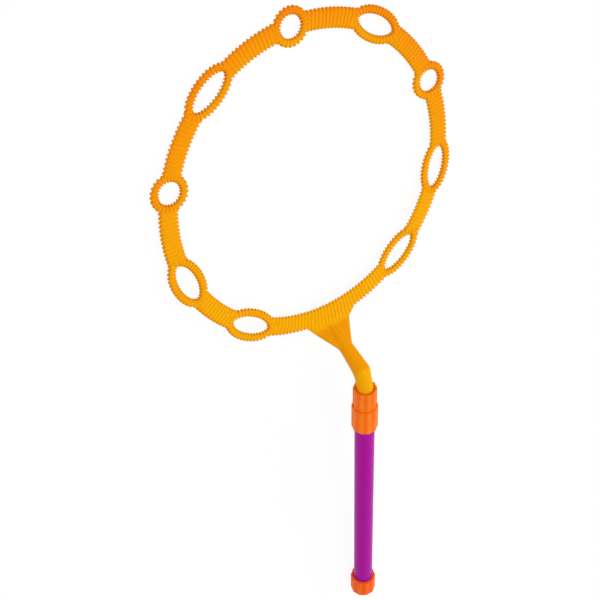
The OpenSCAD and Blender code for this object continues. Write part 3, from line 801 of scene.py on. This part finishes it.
def extruded_plastic():
    """Purple tube: long thin streaks along the die's direction change its tone and height a
    little, soft clouds change its polish, and cross scuffs dull it in places."""
    material, tree, shader = new_material("tube_plastic")
    place = add_node(tree, "ShaderNodeTexCoord")
    lay_flat = add_node(tree, "ShaderNodeMapping",
                        {"Rotation": (-math.asin(handle_up[2]), 0.0, 0.0)})
    long = add_node(tree, "ShaderNodeMapping", {"Scale": (1400.0, 7.0, 1400.0)})
    lines = add_node(tree, "ShaderNodeTexNoise", {"Scale": 1.0, "Detail": 2.0})
    cross = add_node(tree, "ShaderNodeMapping", {"Scale": (120.0, 2600.0, 120.0),
                                                 "Rotation": (0.0, 0.0, 0.25)})
    scuffs = add_node(tree, "ShaderNodeTexNoise", {"Scale": 1.0, "Detail": 1.0})
    clouds = add_node(tree, "ShaderNodeTexNoise", {"Scale": 25.0, "Detail": 4.0, "Roughness": 0.6})
    scuffed = add_node(tree, "ShaderNodeMapRange", {"From Min": 0.64, "From Max": 0.72})
    worn = add_node(tree, "ShaderNodeMapRange", {"From Min": 0.45, "From Max": 0.7})
    scuff = add_node(tree, "ShaderNodeMath", operation="MULTIPLY")
    tone = add_node(tree, "ShaderNodeMix", {"A": (0.325, 0.002, 0.25, 1.0),
                                            "B": (0.39, 0.004, 0.306, 1.0)}, data_type="RGBA")
    paler = add_node(tree, "ShaderNodeMix", {"B": (0.46, 0.04, 0.38, 1.0)}, data_type="RGBA")
    scuff_share = add_node(tree, "ShaderNodeMath", {1: 0.3}, operation="MULTIPLY")
    rough = add_node(tree, "ShaderNodeMapRange", {"From Min": 0.3, "From Max": 0.7,
                                                  "To Min": 0.2, "To Max": 0.3})
    rougher = add_node(tree, "ShaderNodeMath", {1: 0.2}, operation="MULTIPLY_ADD")
    bump = add_node(tree, "ShaderNodeBump", {"Strength": 0.25, "Distance": 0.00002})
    join(tree,
         (place.outputs["Object"], lay_flat.inputs["Vector"]),
         (lay_flat.outputs["Vector"], long.inputs["Vector"]),
         (lay_flat.outputs["Vector"], cross.inputs["Vector"]),
         (lay_flat.outputs["Vector"], clouds.inputs["Vector"]),
         (long.outputs["Vector"], lines.inputs["Vector"]),
         (cross.outputs["Vector"], scuffs.inputs["Vector"]),
         (lines.outputs["Fac"], tone.inputs["Factor"]),
         (scuffs.outputs["Fac"], scuffed.inputs["Value"]),
         (clouds.outputs["Fac"], worn.inputs["Value"]),
         (scuffed.outputs["Result"], scuff.inputs[0]), (worn.outputs["Result"], scuff.inputs[1]),
         (scuff.outputs["Value"], scuff_share.inputs[0]),
         (scuff_share.outputs["Value"], paler.inputs["Factor"]),
         (tone.outputs["Result"], paler.inputs["A"]),
         (paler.outputs["Result"], shader.inputs["Base Color"]),
         (clouds.outputs["Fac"], rough.inputs["Value"]),
         (rough.outputs["Result"], rougher.inputs[2]),
         (scuff.outputs["Value"], rougher.inputs[0]),
         (rougher.outputs["Value"], shader.inputs["Roughness"]),
         (lines.outputs["Fac"], bump.inputs["Height"]),
         (bump.outputs["Normal"], shader.inputs["Normal"]))
    shader.inputs["Specular IOR Level"].default_value = 0.045
    return material


tube.data.materials.append(extruded_plastic())
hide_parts("handle_tube")
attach(tube, "handle")

# ---------------------------------------------------------------- The end cap
# A fluted cap is pushed over the tube's lower end, and a ring inside it plugs the bore. Its
# outer face shows the small dimple of the mould's gate.
cap_radius = 11.6
cap_h = 18.7
cap_foot_edge = 0.8
cap_rim_edge = 0.45
gate_depth = 0.28
plug_radius = 7.77
plug_bore = 5.97
plug_h = 8.0
plug_chamfer = 0.3
axis_gap = 0.02
plug_top = cap_floor + plug_h
cap_profile = (
    [(axis_gap, gate_depth, 0), (0.9, gate_depth, 0), (1.3, 0.2, 0), (1.5, 0.0, 0),
     (1.9, 0.0, 0), (8.6, 0.0, 0), (9.6, 0.0, 1)]
    + round_edge(cap_radius - cap_foot_edge, cap_foot_edge, cap_foot_edge, -90, 0)
    + [(cap_radius, 2.0, 1), (cap_radius, cap_h / 2, 1), (cap_radius, cap_h - 1.4, 1)]
    + round_edge(cap_radius - cap_rim_edge, cap_h - cap_rim_edge, cap_rim_edge, 0, 90)
    + [(rim_radius, cap_h, 0), (socket_radius + 0.15, cap_h, 0),
       (socket_radius, cap_h - 0.15, 0), (socket_radius, cap_h - 0.6, 0),
       (socket_radius, cap_floor, 0), (plug_radius, cap_floor, 0),
       (plug_radius, plug_top - plug_chamfer, 0), (plug_radius - plug_chamfer, plug_top, 0),
       (plug_bore, plug_top, 0), (plug_bore, cap_floor, 0), (axis_gap, cap_floor, 0)])
grid, rubbed, groove = fluted(cap_profile, cap_radius, flute_depth, flutes)
cap = skin("fluted_cap", [(along_handle(grid), True)], rubbed=[rubbed], wall=[groove])
cap_plastic = moulded_plastic(
    "cap_plastic", colour=(0.88, 0.115, 0.002), deep=(0.80, 0.085, 0.002),
    shade_colour=(0.74, 0.07, 0.002), pale=(0.96, 0.18, 0.02), polish=0.4, flow_scale=60.0,
    rubbed=1.5, specular=0.06)
cap.data.materials.append(cap_plastic)
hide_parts("end_cap")
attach(cap, "handle")

# ---------------------------------------------------------------- Floor, light and camera
# A white sweep, a large soft lamp overhead, a smaller one on the right for the tube's flank,
# and a white surround, a little dimmer on the left. The camera looks down across the hoop as
# in the photograph.
floor_reach = 30.0
floor_white_share = 0.93
floor_mesh = bpy.data.meshes.new("floor")
corners = [(-1.0, -1.0), (1.0, -1.0), (1.0, 1.0), (-1.0, 1.0)]
corners = [(x * floor_reach, y * floor_reach, 0.0) for x, y in corners]
floor_mesh.from_pydata(corners, [], [(0, 1, 2, 3)])
floor = bpy.data.objects.new("floor", floor_mesh)
bpy.context.scene.collection.objects.link(floor)
floor_paper, tree, shader = new_material("floor_paper")
tree.nodes.remove(shader)
output = tree.nodes["Material Output"]
paper = add_node(tree, "ShaderNodeBsdfDiffuse", {"Color": (0.9, 0.9, 0.9, 1.0)})
glow_and_far_shade = add_node(tree, "ShaderNodeEmission", {"Color": (1.0, 1.0, 1.0, 1.0), "Strength": 1.0})
path = add_node(tree, "ShaderNodeLightPath")
seen = add_node(tree, "ShaderNodeMath", operation="ADD")
seen_all = add_node(tree, "ShaderNodeMath", operation="ADD")
share = add_node(tree, "ShaderNodeMath", {1: floor_white_share}, operation="MULTIPLY")
blend = add_node(tree, "ShaderNodeMixShader")
join(tree,
     (path.outputs["Is Camera Ray"], seen.inputs[0]),
     (path.outputs["Is Glossy Ray"], seen.inputs[1]),
     (seen.outputs["Value"], seen_all.inputs[0]),
     (path.outputs["Is Transmission Ray"], seen_all.inputs[1]),
     (seen_all.outputs["Value"], share.inputs[0]), (share.outputs["Value"], blend.inputs["Fac"]),
     (paper.outputs["BSDF"], blend.inputs[1]), (glow_and_far_shade.outputs["Emission"], blend.inputs[2]),
     (blend.outputs["Shader"], output.inputs["Surface"]))
floor_mesh.materials.append(floor_paper)

world = bpy.data.worlds.new("surround")
world.use_nodes = True
tree = world.node_tree
sky = tree.nodes["Background"]
sky.inputs["Color"].default_value = (1.0, 1.0, 1.0, 1.0)
towards = add_node(tree, "ShaderNodeTexCoord")
bright_side = add_node(tree, "ShaderNodeVectorMath", {1: Vector((1.0, 0.0, 0.2)).normalized()},
                       operation="DOT_PRODUCT")
level = add_node(tree, "ShaderNodeMapRange", {"From Min": -0.7, "From Max": 0.8,
                                              "To Min": 0.68, "To Max": 0.96})
join(tree,
     (towards.outputs["Generated"], bright_side.inputs[0]),
     (bright_side.outputs["Value"], level.inputs["Value"]),
     (level.outputs["Result"], sky.inputs["Strength"]))
bpy.context.scene.world = world


def soft_lamp(name, place, aim, size, power):
    """A square area lamp at a place, turned to face a point."""
    lamp = bpy.data.lights.new(name, "AREA")
    lamp.shape = "SQUARE"
    lamp.size = size
    lamp.energy = power
    holder = bpy.data.objects.new(name, lamp)
    bpy.context.scene.collection.objects.link(holder)
    holder.location = place
    holder.rotation_euler = (Vector(aim) - Vector(place)).to_track_quat("-Z", "Y").to_euler()


soft_lamp("overhead_lamp", (0.1, 0.35, 1.8), (0.0, 0.0, 0.0), size=1.0, power=11.0)
soft_lamp("side_lamp", (1.2, -0.3, 0.7), (0.0, -0.15, 0.03), size=0.5, power=3.0)

# The camera's place, in hoop radii from the hoop's middle, and its right and down directions,
# all in the hoop's own axes, as they were fitted to the photograph.
camera_place = Vector((-3.6665, 3.9811, 6.0564))
right = Vector((0.81634, -0.12375, 0.56416)).normalized()
down = Vector((-0.40788, -0.81509, 0.41141))
down = (down - right * down.dot(right)).normalized()
back = -right.cross(down)
turn = Matrix((right, -down, back)).transposed().to_4x4()
tilt = Matrix.Rotation(hoop_tilt, 4, "X")
lens = bpy.data.cameras.new("camera")
lens.lens = 79.26
lens.sensor_width = 36.0
lens.clip_end = 50.0
camera = bpy.data.objects.new("camera", lens)
bpy.context.scene.collection.objects.link(camera)
place = Matrix.Translation(camera_place * hoop_radius * 0.001)
camera.matrix_world = Matrix.Translation(hoop_centre) @ tilt @ place @ turn
bpy.context.scene.camera = camera
bpy.context.scene.view_settings.view_transform = "Standard"
